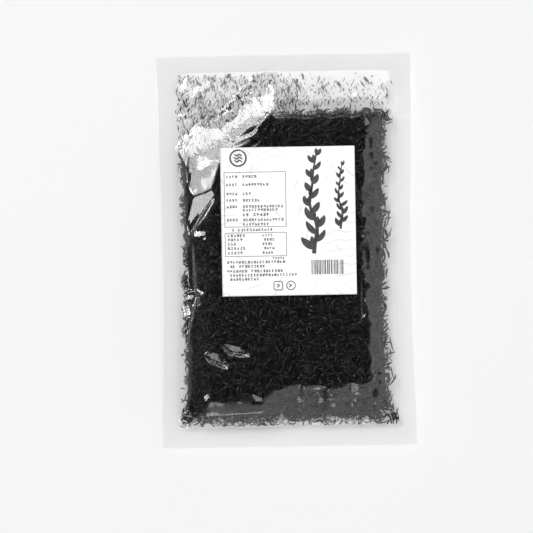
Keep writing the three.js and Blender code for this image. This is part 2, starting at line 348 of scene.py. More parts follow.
    def folds(self, x, y):
        """Ridges and crumples of the front film over its smooth shape."""
        total = np.zeros(np.broadcast(x, y).shape)
        for start, end, high, width in RIDGES:
            total += high * ridge(x, y, start, end, width)
        left = smooth((-38 - x) / 22)
        neck = smooth((y - self.bed_top + 4) / 10)
        corner = smooth((-x - 4) / 30) * smooth((y - 56) / 16)
        low = smooth((-100 - y) / 10) * smooth((-x - 10) / 16)
        under_label = 1 - smooth((54 - np.abs(x - 1.5)) / 5) * smooth((57 - np.abs(y - 21)) / 5)
        loose = np.clip(left * smooth((y + 40) / 50) + 0.7 * neck + 0.6 * corner + 0.7 * low, 0, 1)
        flat = within(x, y, CORNER, 6.0) * (1 - smooth((y - 84 - 0.6 * np.maximum(0, x + 34)) / 8))
        for *_, corners, soft in FLATS[:3]:
            flat = np.maximum(flat, within(x, y, corners, soft))
        rough = 1 - 0.85 * flat
        total += loose * (
            0.4 * mix(0.5, 1, rough) * creased(x, y * 0.8, 12, 21)
            + rough * (0.22 * creased(x + 0.4 * y, y, 6.5, 22) + 0.1 * ripple(x, y, 3.6, 23))
            - 0.25
        )
        calm = 0.05 * ripple(x, y, 9, 24) + 0.16 * creased(x, y * 0.5, 30, 25) - 0.1
        return total + (1 - loose) * calm * under_label

    def back(self, x, y):
        """Underside of the back film."""
        x, y = np.asarray(x, float), np.asarray(y, float)
        share = 1 - np.abs(x) / self.inside(y)
        falling = 1 - smooth((y - self.bed_top + 8) / (self.top - self.bed_top + 8))
        flat = swell(share / 0.25) * swell((y - self.bottom) / 22) * falling
        lifted = self.seam(x, y) - 0.25
        ripples = 0.10 * creased(x, y, 14, 31) * smooth(flat / 0.4)
        ripples = ripples * (1 - smooth((flat - 0.5) / 0.5))
        return lifted * (1 - flat) + ripples + 0.04

    def columns(self, spacing, middle):
        """Places across the pouch, further apart over its middle."""
        calm, side = 44, 90.0
        outer = np.arange(calm, side - spacing / 2, spacing)
        inner = np.arange(0, calm - middle / 2, middle)
        right = np.concatenate([inner, outer, [side]])
        return np.concatenate([-right[:0:-1], right])

    def rows(self, spacing, middle):
        """Places along the pouch, further apart over its middle."""
        calm_low, calm_high = -90, 56
        low = np.arange(-self.end, calm_low, spacing)
        between = np.arange(calm_low, calm_high - middle / 2, middle)
        high = np.arange(calm_high, self.end - spacing / 2, spacing)
        return np.concatenate([low, between, high, [self.end]])

    def grid(self, columns, rows):
        """Points of a grid whose outer columns follow the pouch's drawn-in sides."""
        x, y = np.meshgrid(columns, rows)
        straight = 57  # columns nearer to the middle than this run straight up
        beyond = np.maximum(0, np.abs(x) - straight)
        share = (self.half_width(y) - straight) / (self.half - straight)
        return np.sign(x) * (np.abs(x) - beyond + beyond * share), y


# Meshes


def mesh_object(name, vertices, faces, even=True):
    mesh = bpy.data.meshes.new(name)
    mesh.from_pydata(np.asarray(vertices, float).tolist(), [], [tuple(map(int, f)) for f in faces])
    mesh.polygons.foreach_set("use_smooth", [even] * len(mesh.polygons))
    mesh.update()
    made = bpy.data.objects.new(name, mesh)
    bpy.context.scene.collection.objects.link(made)
    return made


def quads(wide, high):
    """Faces of a grid of points, counted row by row."""
    at = np.arange(wide * high).reshape(high, wide)
    return np.stack([at[:-1, :-1], at[:-1, 1:], at[1:, 1:], at[1:, :-1]], -1).reshape(-1, 4)


def rim(wide, high):
    """The outer points of such a grid, anticlockwise."""
    at = np.arange(wide * high).reshape(high, wide)
    return np.concatenate([at[0, :-1], at[:-1, -1], at[-1, :0:-1], at[:0:-1, 0]])


def slab(name, x, y, low, high):
    """A closed sheet between two heights over a grid of points, all in millimetres."""
    tall, wide = x.shape
    count = x.size
    vertices = np.concatenate([np.stack([x, y, z], -1).reshape(-1, 3) for z in (low, high)])
    over = quads(wide, tall)
    edge = rim(wide, tall)
    after = np.roll(edge, -1)
    wall = np.stack([edge, after, after + count, edge + count], -1)
    faces = np.concatenate([over[:, ::-1], over + count, wall])
    return mesh_object(name, vertices * MM, faces)


def point_values(made, name, values):
    """Gives each vertex a number that the materials can read."""
    layer = made.data.attributes.new(name, "FLOAT", "POINT")
    layer.data.foreach_set("value", np.asarray(values, np.float32).ravel())


def places(made):
    """Where a mesh's vertices are, in millimetres."""
    flat = np.zeros(len(made.data.vertices) * 3, np.float32)
    made.data.vertices.foreach_get("co", flat)
    return flat.reshape(-1, 3).astype(float) / MM


def set_places(made, points):
    made.data.vertices.foreach_set("co", (points * MM).astype(np.float32).ravel())
    made.data.update()


def finished(made, material, slot, *nodes):
    """Dresses a piece, and ties it to the part."""
    made.data.materials.clear()
    made.data.materials.append(material)
    made.data.polygons.foreach_set("material_index", [0] * len(made.data.polygons))
    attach(made, "root")
    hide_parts(*nodes)
    return made


# Materials


def feed(tree, value, socket):
    """Links a socket to what feeds it, or gives it a plain value, a colour without its alpha."""
    if isinstance(value, bpy.types.NodeSocket):
        tree.links.new(value, socket)
    else:
        socket.default_value = (*value, 1) if socket.type == "RGBA" else value


def node(tree, kind, inputs=None, **settings):
    """A node with its settings made first, and then its sockets fed by name or number."""
    made = tree.nodes.new(kind)
    for key, value in settings.items():
        setattr(made, key, value)
    for key, value in (inputs or {}).items():
        feed(tree, value, made.inputs[key])
    return made


def maths(tree, operation, *values, clamp=False):
    made = node(
        tree, "ShaderNodeMath", dict(enumerate(values)), operation=operation, use_clamp=clamp
    )
    return made.outputs[0]


def noise(tree, place, scale, detail=1.0):
    made = node(tree, "ShaderNodeTexNoise", {"Vector": place, "Scale": scale, "Detail": detail})
    return made.outputs["Fac"]


def bump(tree, height, strength, distance):
    made = node(
        tree, "ShaderNodeBump", {"Height": height, "Strength": strength, "Distance": distance}
    )
    return made.outputs["Normal"]


def point_value(tree, name):
    """Reads a number that the mesh's points carry."""
    made = node(tree, "ShaderNodeAttribute", attribute_name=name, attribute_type="GEOMETRY")
    return made.outputs["Fac"]


def blend_colours(tree, amount, first, second):
    made = node(tree, "ShaderNodeMix", {0: amount, 6: first, 7: second}, data_type="RGBA")
    return made.outputs[2]


def blend_shaders(tree, amount, first, second):
    sockets = {0: amount, 1: first.outputs[0], 2: second.outputs[0]}
    return node(tree, "ShaderNodeMixShader", sockets)


def shader_group(name, inputs, outputs):
    """A group's tree, with what its named inputs give and what its named outputs take."""
    tree = bpy.data.node_groups.new(name, "ShaderNodeTree")
    for label, default in inputs:
        made = tree.interface.new_socket(name=label, in_out="INPUT", socket_type="NodeSocketFloat")
        made.default_value = default
    for label in outputs:
        tree.interface.new_socket(name=label, in_out="OUTPUT", socket_type="NodeSocketFloat")
    return tree, tree.nodes.new("NodeGroupInput").outputs, tree.nodes.new("NodeGroupOutput").inputs


def relief_group():
    """Fine relief as a height, with a mask of its hollows: for strands, film and paper."""
    name = "Fine relief"
    if name in bpy.data.node_groups:
        return bpy.data.node_groups[name]
    tree, entry, leave = shader_group(
        name, (("Grain per metre", 900.0), ("Roughness", 0.6)), ("Height", "Hollows")
    )
    grain = node(tree, "ShaderNodeTexNoise", {
        "Vector": node(tree, "ShaderNodeTexCoord").outputs["Object"], "Detail": 4.0,
        "Distortion": 0.3, "Scale": entry["Grain per metre"], "Roughness": entry["Roughness"],
    })
    feed(tree, grain.outputs["Fac"], leave["Height"])
    hollows = maths(tree, "MULTIPLY_ADD", grain.outputs["Fac"], -5.0, 2.9, clamp=True)
    feed(tree, hollows, leave["Hollows"])
    return tree


def relief(tree, grain, roughness):
    """Height and hollows of the fine relief, with so many grains to the metre."""
    made = node(
        tree, "ShaderNodeGroup", {"Grain per metre": grain, "Roughness": roughness},
        node_tree=relief_group(),
    )
    return made.outputs["Height"], made.outputs["Hollows"]


def new_material(name):
    material = bpy.data.materials.new(name)
    material.use_nodes = True
    material.node_tree.nodes.clear()
    return material, material.node_tree


def shown(material, shader):
    """Gives a material its finished shader."""
    node(material.node_tree, "ShaderNodeOutputMaterial", {"Surface": shader.outputs[0]})
    return material


def matt(material, surface, roughness, normal):
    """Gives a material a plain matt surface, in one colour or a pattern of them."""
    sockets = {"Base Color": surface, "Roughness": roughness, "Normal": normal}
    return shown(material, node(material.node_tree, "ShaderNodeBsdfPrincipled", sockets))


def film_material(colours):
    """Clear film: mostly see-through, with the gloss of its two faces and a little milk."""
    material, tree = new_material("Clear film")
    facing = node(tree, "ShaderNodeLayerWeight", {"Blend": 0.5}).outputs["Facing"]
    grazing = maths(tree, "POWER", facing, 5.0)
    straight = maths(tree, "MULTIPLY", point_value(tree, "gloss"), 0.034)
    shine = maths(tree, "MULTIPLY_ADD", grazing, 0.95, straight, clamp=True)
    haze = maths(tree, "MULTIPLY_ADD", point_value(tree, "seal"), 0.010, 0.0002)
    clear = node(tree, "ShaderNodeBsdfTransparent", {"Color": (0.998, 0.998, 0.999)})
    milk = node(
        tree, "ShaderNodeBsdfPrincipled", {"Base Color": colours.film_milk, "Roughness": 0.35}
    )
    height, _ = relief(tree, 55.0, 0.2)
    gloss = node(tree, "ShaderNodeBsdfPrincipled", {
        "Base Color": (1, 1, 1), "Metallic": 1.0, "Roughness": 0.09,
        "Normal": bump(tree, height, 0.25, 0.0006),
    })
    whole = blend_shaders(tree, shine, blend_shaders(tree, haze, clear, milk), gloss)
    # Light on its way down is hardly dimmed, since what the film reflects comes back from around.
    passed = node(tree, "ShaderNodeBsdfTransparent", {"Color": (0.997, 0.997, 0.998)})
    shadow = node(tree, "ShaderNodeLightPath").outputs["Is Shadow Ray"]
    return shown(material, blend_shaders(tree, shadow, whole, passed))


def strand_material(colours):
    """Dried seaweed: near black, wrinkled, with a dull sheen; a few strands are browner."""
    if "Dried seaweed" in bpy.data.materials:
        return bpy.data.materials["Dried seaweed"]
    material, tree = new_material("Dried seaweed")
    tone = point_value(tree, "tone")
    brown = maths(tree, "MULTIPLY_ADD", tone, 2.2, -1.2, clamp=True)
    pale = maths(tree, "GREATER_THAN", tone, 0.9988)
    height, hollows = relief(tree, 1500.0, 0.65)
    base = blend_colours(tree, brown, colours.strand_dark, colours.strand_brown)
    salt = maths(tree, "MULTIPLY", hollows, 0.35)
    salted = blend_colours(tree, salt, base, colours.strand_brown)
    shader = node(tree, "ShaderNodeBsdfPrincipled", {
        "Base Color": blend_colours(tree, pale, salted, colours.strand_tan),
        "Roughness": maths(tree, "MULTIPLY_ADD", height, 0.26, 0.17),
        "Specular IOR Level": 0.65,
        "Normal": bump(tree, height, 0.35, 0.00015),
    })
    # Loose strands cast fainter shadows, as the floor under the thin ends also gets light sideways.
    fade = maths(tree, "MULTIPLY", point_value(tree, "loose"), 0.93)
    faint = blend_shaders(tree, fade, shader, node(tree, "ShaderNodeBsdfTransparent"))
    shadow = node(tree, "ShaderNodeLightPath").outputs["Is Shadow Ray"]
    return shown(material, blend_shaders(tree, shadow, shader, faint))


def paper_material(colours):
    """White label paper with long, pale, wavy fibres in its print."""
    material, tree = new_material("Label paper")
    place = node(tree, "ShaderNodeTexCoord").outputs["Object"]
    fibres = None
    for turn, scale, phase in ((1.35, 55.0, 0.0), (-0.75, 43.0, 3.1), (0.35, 36.0, 7.7)):
        mapping = node(tree, "ShaderNodeMapping", {"Vector": place, "Rotation": (0, 0, turn)})
        turned = mapping.outputs["Vector"]
        wave = node(tree, "ShaderNodeTexWave", {
            "Vector": turned, "Scale": scale, "Distortion": 6.0, "Detail": 1.0,
            "Detail Scale": 0.8, "Phase Offset": phase,
        })
        gate = noise(tree, turned, 38.0 + 5 * phase)
        line = maths(tree, "MULTIPLY_ADD", wave.outputs["Fac"], 12.0, -10.9, clamp=True)
        there = maths(tree, "MULTIPLY_ADD", gate, 8.0, -4.2, clamp=True)
        fibre = maths(tree, "MULTIPLY", line, there)
        fibres = fibre if fibres is None else maths(tree, "MAXIMUM", fibres, fibre)
    cloudy = noise(tree, place, 45.0, 2.0)
    tint = maths(tree, "MULTIPLY_ADD", cloudy, 0.7, -0.25, clamp=True)
    faint = maths(tree, "MULTIPLY", tint, 0.3)
    amount = maths(tree, "MULTIPLY_ADD", fibres, 0.6, faint, clamp=True)
    surface = blend_colours(tree, amount, colours.paper, colours.fibre)
    height, _ = relief(tree, 2600.0, 0.7)
    return matt(material, surface, 0.55, bump(tree, height, 0.15, 0.0001))


def ink_material(name, ink, worn):
    """Printed ink, through which the paper shows a little in the hollows of its grain."""
    material, tree = new_material(name)
    height, hollows = relief(tree, 1900.0, 0.7)
    surface = blend_colours(tree, maths(tree, "MULTIPLY", hollows, worn), ink, (0.5, 0.5, 0.5))
    return matt(material, surface, 0.5, bump(tree, height, 0.1, 0.00005))


def floor_material(colours):
    material, tree = new_material("Studio floor")
    height, _ = relief(tree, 220.0, 0.5)
    return matt(material, colours.floor, 0.85, bump(tree, height, 0.02, 0.0005))


# Strands

KINDS = 18  # differently curled strands in a collection


def spindle(name, length, width, bend, thin, rng, rings=5, sides=4):
    """One dried strand: a curled, tapered stem, swollen unevenly along its length."""
    along = np.linspace(0, 1, rings + 2)
    heading = (along - 0.5) * bend + rng.uniform(-0.2, 0.2, rings + 2)
    step = length / (rings + 1)
    x = np.concatenate([[0], np.cumsum(np.cos(heading[:-1]) * step)])
    y = np.concatenate([[0], np.cumsum(np.sin(heading[:-1]) * step)])
    z = rng.uniform(-0.3, 0.3, rings + 2) * width + 0.9 * width * np.sin(along * math.pi)
    centre = np.stack([x - x.mean(), y - y.mean(), z - z.mean()], -1)
    swollen = np.sin(math.pi * along) ** 0.45 * rng.uniform(0.75, 1.2, rings + 2) * width / 2
    vertices = [centre[0]]
    twist = rng.uniform(0, 1.5)
    for k in range(1, rings + 1):
        ahead = centre[k + 1] - centre[k - 1]
        side = np.array([-ahead[1], ahead[0], 0]) / np.hypot(ahead[0], ahead[1])
        for n in range(sides):
            angle = 2 * math.pi * n / sides + twist * k / rings
            out = math.cos(angle) * side + math.sin(angle) * thin * np.array([0, 0, 1])
            vertices.append(centre[k] + out * swollen[k])
    vertices.append(centre[-1])
    faces, last = [], len(vertices) - 1
    for n in range(sides):
        m = (n + 1) % sides
        faces.append((0, 1 + m, 1 + n))
        for k in range(rings - 1):
            a = 1 + k * sides
            faces.append((a + n, a + m, a + sides + m, a + sides + n))
        faces.append((last - sides + n, last - sides + m, last))
    return mesh_object(name, np.array(vertices) * MM, faces)


def strand_kinds(sizes, rng, share_of_length=1.0, curl=1.7, rings=5, sides=4):
    """A collection of differently curled strands and a few flattened buds to scatter."""
    kinds = bpy.data.collections.new("Strand kinds")
    long, short = (v / MM * share_of_length for v in (sizes.longest, sizes.shortest))
    thick = sizes.thickness / MM * share_of_length**0.6
    for k in range(KINDS):
        share = rng.uniform(0, 1)
        reach = mix(short, long, share)
        width = thick * rng.uniform(0.75, 1.2)
        bend = rng.uniform(0.1 * curl, curl) * rng.choice([-1, 1])
        thin = rng.uniform(0.6, 1.0)
        if k % 6 == 5:  # a bud
            reach, width, thin, bend = reach * 0.75, thick * 1.75, 0.45, bend * 0.4
        made = spindle(f"kind_{k:02d}", reach, width, bend, thin, rng, rings, sides)
        bpy.context.scene.collection.objects.unlink(made)
        kinds.objects.link(made)
    return kinds


def scatter_tree():
    """Scatters strands over a surface: turned at random on it, tilted a little, and each with a
    tone of its own."""
    name = "Scattered strands"
    if name in bpy.data.node_groups:
        return bpy.data.node_groups[name]
    tree = bpy.data.node_groups.new(name, "GeometryNodeTree")
    sockets = (
        ("Surface", "NodeSocketGeometry", None),
        ("Kinds", "NodeSocketCollection", None),
        ("Strands per square metre", "NodeSocketFloat", 200000.0),
        ("Tilt", "NodeSocketFloat", 0.25),
        ("Deepest", "NodeSocketFloat", 0.0015),
        ("Least size", "NodeSocketFloat", 0.7),
        ("Least turn", "NodeSocketFloat", 0.0),
        ("Most turn", "NodeSocketFloat", 2 * math.pi),
        ("Swirl", "NodeSocketFloat", 0.0),
        ("Seed", "NodeSocketInt", 1),
        ("Finish", "NodeSocketMaterial", None),
    )
    for label, kind, default in sockets:
        made = tree.interface.new_socket(name=label, in_out="INPUT", socket_type=kind)
        if default is not None:
            made.default_value = default
    tree.interface.new_socket(name="Strands", in_out="OUTPUT", socket_type="NodeSocketGeometry")
    entry = tree.nodes.new("NodeGroupInput").outputs
    crowding = node(
        tree, "GeometryNodeInputNamedAttribute", {"Name": "crowding"}, data_type="FLOAT"
    )
    points = node(tree, "GeometryNodeDistributePointsOnFaces", {
        "Mesh": entry["Surface"], "Seed": entry["Seed"],
        "Density": maths(tree, "MULTIPLY", entry["Strands per square metre"], crowding.outputs[0]),
    }, distribute_method="RANDOM")

    def drawn(kind, low, high, extra):
        """A random value for each strand. The extra keeps one draw apart from the others."""
        seeded = maths(tree, "ADD", entry["Seed"], extra)
        made = node(tree, "FunctionNodeRandomValue", {"Seed": seeded}, data_type=kind)
        for socket, value in zip([s for s in made.inputs if s.enabled], (low, high)):
            feed(tree, value, socket)
        return next(s for s in made.outputs if s.enabled)

    def stored(geometry, label, kind, value):
        """Gives each strand a number, which its points then carry."""
        made = node(
            tree, "GeometryNodeStoreNamedAttribute", {"Geometry": geometry, "Name": label},
            data_type=kind, domain="INSTANCE",
        )
        feed(tree, value, next(s for s in made.inputs if s.enabled and s.name == "Value"))
        return made.outputs[0]

    less = maths(tree, "MULTIPLY", entry["Tilt"], -1)
    drift = noise(tree, node(tree, "GeometryNodeInputPosition").outputs[0], 45.0)
    turned = drawn("FLOAT", entry["Least turn"], entry["Most turn"], 13)
    angles = node(tree, "ShaderNodeCombineXYZ", {
        0: drawn("FLOAT", less, entry["Tilt"], 11),
        1: drawn("FLOAT", less, entry["Tilt"], 12),
        2: maths(tree, "MULTIPLY_ADD", drift, entry["Swirl"], turned),
    })
    turn = node(tree, "FunctionNodeEulerToRotation", {0: angles.outputs[0]})
    both = node(tree, "FunctionNodeRotateRotation", {
        0: points.outputs["Rotation"], 1: turn.outputs[0],
    }, rotation_space="LOCAL")
    kinds = node(tree, "GeometryNodeCollectionInfo", {
        "Collection": entry["Kinds"], "Separate Children": True, "Reset Children": True,
    }, transform_space="ORIGINAL")
    placed = node(tree, "GeometryNodeInstanceOnPoints", {
        "Points": points.outputs["Points"], "Instance": kinds.outputs[0], "Pick Instance": True,
        "Instance Index": drawn("INT", 0, KINDS - 1, 14), "Rotation": both.outputs[0],
        "Scale": drawn("FLOAT", entry["Least size"], 1.15, 15),
    })
    deep = maths(tree, "MULTIPLY", entry["Deepest"], -1)
    sunk = node(tree, "ShaderNodeCombineXYZ", {2: drawn("FLOAT", deep, 0.0, 16)})
    moved = node(tree, "GeometryNodeTranslateInstances", {
        "Instances": placed.outputs[0], "Translation": sunk.outputs[0], "Local Space": True,
    })
    toned = stored(moved.outputs[0], "tone", "FLOAT", drawn("FLOAT", 0.0, 1.0, 17))
    counted = stored(toned, "strand", "INT", node(tree, "GeometryNodeInputIndex").outputs[0])
    real = node(tree, "GeometryNodeRealizeInstances", {"Geometry": counted})
    finish = node(tree, "GeometryNodeSetMaterial", {
        "Geometry": real.outputs[0], "Material": entry["Finish"],
    })
    node(tree, "NodeGroupOutput", {0: finish.outputs[0]})
    return tree


def scatter(name, patch, kinds, material, values):
    """Runs the scattering tree on a patch, and leaves a plain mesh of strands in its place."""
    modifier = patch.modifiers.new("Strands", "NODES")
    tree = scatter_tree()
    modifier.node_group = tree
    values = {"Kinds": kinds, "Finish": material, **values}
    for item in tree.interface.items_tree:
        if item.item_type == "SOCKET" and item.in_out == "INPUT" and item.name in values:
            modifier[item.identifier] = values[item.name]
    bpy.context.view_layer.update()
    graph = bpy.context.evaluated_depsgraph_get()
    mesh = bpy.data.meshes.new_from_object(patch.evaluated_get(graph))
    if not len(mesh.vertices):
        raise RuntimeError(f"no strands were scattered for {name}")
    mesh.name = name
    patch.modifiers.remove(modifier)
    bpy.data.objects.remove(patch)
    made = bpy.data.objects.new(name, mesh)
    bpy.context.scene.collection.objects.link(made)
    made.data.polygons.foreach_set("use_smooth", [True] * len(made.data.polygons))
    return made


def patch_of(name, x, y, z, crowding, facing_up=True):
    """An open patch of surface to scatter strands on."""
    faces = quads(x.shape[1], x.shape[0])
    points = np.stack([x, y, z], -1).reshape(-1, 3)
    made = mesh_object(name, points * MM, faces if facing_up else faces[:, ::-1])
    point_values(made, "crowding", crowding)
    return made


def pressed(made, pouch, margin=0.2):
    """Moves each strand down or up until it lies between the two films."""
    which = np.zeros(len(made.data.vertices), np.int32)
    made.data.attributes["strand"].data.foreach_get("value", which)
    made.data.attributes.remove(made.data.attributes["strand"])
    points = places(made)
    off_seal, off_top = 0.6, 0.8
    edge = pouch.inside(points[:, 1]) - off_seal
    points[:, 0] = np.clip(points[:, 0], -edge, edge)
    points[:, 1] = np.clip(points[:, 1], pouch.bottom + off_seal, pouch.top - off_top)
    x, y = points[:, :2].T
    roof = pouch.front(x, y) - margin
    ground = pouch.back(x, y) + pouch.film + margin
    over = np.zeros(which.max() + 1)
    np.maximum.at(over, which, points[:, 2] - roof)
    points[:, 2] -= over[which]
    under = np.zeros(which.max() + 1)
    np.maximum.at(under, which, ground - points[:, 2])
    points[:, 2] = np.clip(points[:, 2] + under[which], ground, np.maximum(roof, ground + 0.05))
    set_places(made, points)
    return made


def bed_top_at(pouch, x):
    """The bed's upper end: ragged, and lower in the upper left corner."""
    low = 27 * smooth((-x - 6) / 70)
    end = pouch.bed_top + 0.03 * x
    end = end + 1.1 * ripple(x, 0 * x, 5, 41) + 0.9 * ripple(x, 0 * x, 14, 42)
    return end - low


# Label print: brush strokes and fine marks, each a thin raised prism on the paper

SUNK, PROUD = -0.03, 0.045  # how far a mark reaches into the paper and stands over it


class Print:
    """Collects marks drawn on the label, whose own coordinates start at its middle."""

    def __init__(self, surface, centre):
        self.surface, self.centre = surface, centre
        self.vertices, self.faces = [], []

    def stroke(self, points, widths):
        """A mark along points, with its full width at each of them."""
        points = np.asarray(points, float)
        widths = np.broadcast_to(np.asarray(widths, float), len(points))
        ahead = np.gradient(points, axis=0)
        ahead /= np.maximum(np.hypot(*ahead.T)[:, None], 1e-9)
        side = np.stack([-ahead[:, 1], ahead[:, 0]], -1) * widths[:, None] / 2
        outline = np.concatenate([points - side, (points + side)[::-1]]) + self.centre
        z = self.surface(outline[:, 0], outline[:, 1])
        n, base = len(points), len(self.vertices)
        for lift in (SUNK, PROUD):
            self.vertices += np.column_stack([outline, z + lift]).tolist()
        count = 2 * n
        for k in range(n - 1):
            a, b, c, d = k, k + 1, count - 2 - k, count - 1 - k
            self.faces.append([base + v + count for v in (a, b, c, d)])
            self.faces.append([base + v for v in (d, c, b, a)])
        for k in range(count):
            m = (k + 1) % count
            self.faces.append([base + k, base + m, base + m + count, base + k + count])

    def line(self, x0, y0, x1, y1, width):
        count = max(2, int(math.hypot(x1 - x0, y1 - y0) / 6) + 2)
        share = np.linspace(0, 1, count)[:, None]
        self.stroke(np.array([x0, y0]) * (1 - share) + np.array([x1, y1]) * share, width)

    def box(self, x0, y0, x1, y1, width):
        for a, b, c, d in ((x0, y0, x1, y0), (x0, y1, x1, y1), (x0, y0, x0, y1), (x1, y0, x1, y1)):
            self.line(a, b, c, d, width)

    def greeking(self, x0, x1, y, size, rng, gap=0.0):
        """A row of short dashes that stands for a line of fine print."""
        x = x0
        while x < x1 - 0.5 * size:
            wide = size * rng.uniform(0.55, 0.95)
            for level in rng.permutation([0.34, 0.0, -0.34])[: rng.integers(2, 4)]:
                inset = rng.uniform(0, 0.3) * wide
                height = y + level * size
                self.stroke([(x + inset, height), (x + wide, height)], 0.27 * size)
            middle = x + wide * rng.uniform(0.3, 0.7)
            self.stroke([(middle, y - 0.45 * size), (middle, y + 0.45 * size)], 0.2 * size)
            x += size * 1.08
            if rng.uniform() < gap:
                x += size * rng.uniform(0.5, 1.5)

    def dab(self, x, y, angle, reach, width, bend):
        """A brush dab: full at its start, drawn out to a point."""
        share = np.linspace(0, 1, 9)
        heading = angle + bend * share
        xs = x + np.concatenate([[0], np.cumsum(np.cos(heading[:-1]))]) * reach / 8
        ys = y + np.concatenate([[0], np.cumsum(np.sin(heading[:-1]))]) * reach / 8
        full = np.clip(np.sin(math.pi * np.clip(0.12 + share * 0.88, 0, 1)) ** 0.7, 0.06, 1)
        self.stroke(np.stack([xs, ys], -1), width * full)

    def ring(self, x, y, radius, width, start=0.0, sweep=2 * math.pi, steps=28):
        angle = np.linspace(start, start + sweep, steps)
        self.stroke(np.stack([x + radius * np.cos(angle), y + radius * np.sin(angle)], -1), width)

    def finish(self, name):
        return mesh_object(name, np.array(self.vertices) * MM, self.faces, even=False)


def brush_sprig(ink, x, low, high, size, rng):
    """A sprig of seaweed in brush strokes: a wavering stem with plump, curled fronds."""
    along = np.linspace(0, 1, 26)
    stem_x = x + 0.11 * size * np.sin(along * 8.5) - 0.04 * size * np.sin(along * 17)
    stem_y = mix(low, high, along)
    ink.stroke(np.stack([stem_x, stem_y], -1), 0.13 * size * (1.2 - along * 0.8))
    count = int((high - low) / (0.27 * size))
    for k in range(count):
        share = (k + 0.8) / (count + 0.4)
        side = 1 if k % 2 else -1
        px, py = np.interp(share, along, stem_x), mix(low, high, share)
        reach = size * rng.uniform(0.5, 0.66) * (1.08 - 0.5 * share)
        lean = math.pi / 2 - side * rng.uniform(0.8, 1.2)
        width = size * rng.uniform(0.2, 0.27) * (1.1 - 0.4 * share)
        ink.dab(px, py, lean, reach, width, side * rng.uniform(0.5, 1.1))
        if k % 3 != 2:
            ink.dab(
                px, py + 0.06 * size, lean + side * 0.75, reach * 0.62, width * 0.75, side * 0.4
            )


# Operators


class HIJIKI_OT_films(bpy.types.Operator):
    """Build the front and back film with their seals and folds"""

    bl_idname = "hijiki.films"
    bl_label = "Films"

    def execute(self, context):
        pouch = Pouch(context.scene)
        material = film_material(context.scene.hijiki_colours)
        for name, stands_for, under, across, along in (
            ("front_film", "film_front", pouch.front, (1.0, 1.3), (1.0, 1.2)),
            ("back_film", "film_back", pouch.back, (1.5, 3.0), (1.6, 3.0)),
        ):
            x, y = pouch.grid(pouch.columns(*across), pouch.rows(*along))
            low = under(x, y)
            made = slab(name, x, y, low, low + pouch.film)
            fade = 0.8  # how far the welds' haze fades out
            sealed = 1 - smooth((pouch.inside(y) - np.abs(x) + fade) / fade)
            sealed = np.maximum(sealed, 1 - smooth((y - pouch.bottom + fade) / fade))
            sealed = np.maximum(sealed, 1 - smooth((pouch.top - y + fade) / fade))
            # The back film clings to what it lies on, which takes away most of its gloss, and the
            # front film is dulled along the sharp crest at the bed's upper end.
            crest = np.exp(-(((y - pouch.crest_at(x)) / 2) ** 2)) * smooth((x + 6) / 8)
            gloss = 1 - 0.8 * crest if name == "front_film" else 0.2 + 0 * x
            for label, values in (("seal", sealed), ("gloss", gloss)):
                point_values(made, label, np.tile(values.ravel(), 2))
            finished(made, material, "clear_film", stands_for)
        return {"FINISHED"}


class HIJIKI_OT_bed(bpy.types.Operator):
    """Build the dark, lumpy inside of the bed of strands"""

    bl_idname = "hijiki.bed"
    bl_label = "Bed"

    def execute(self, context):
        pouch = Pouch(context.scene)
        u, v = np.meshgrid(np.linspace(-1, 1, 66), np.linspace(0, 1, 100))
        y = mix(pouch.bottom + 9, pouch.bed_top, v)
        x = u * (pouch.inside(y) - mix(5.5, 9, smooth(u)))
        corner = 5 * np.abs(u) ** 6  # rounds the corners off
        y = mix(pouch.bottom + 8 + corner, bed_top_at(pouch, x) - 3.5 - corner, v)
        lumps = 0.4 * ripple(x, y, 3.5, 51) + 0.3 * ripple(x, y, 9, 52)
        over_back, under_front, thinnest = 1.9, 3.0, 1
        low = pouch.back(x, y) + over_back + lumps
        high = np.maximum(pouch.front(x, y) - under_front + lumps, low + thinnest)
        made = slab("bed_core", x, y, low, high)
        finished(made, strand_material(context.scene.hijiki_colours), "dried_seaweed", "hijiki")
        return {"FINISHED"}


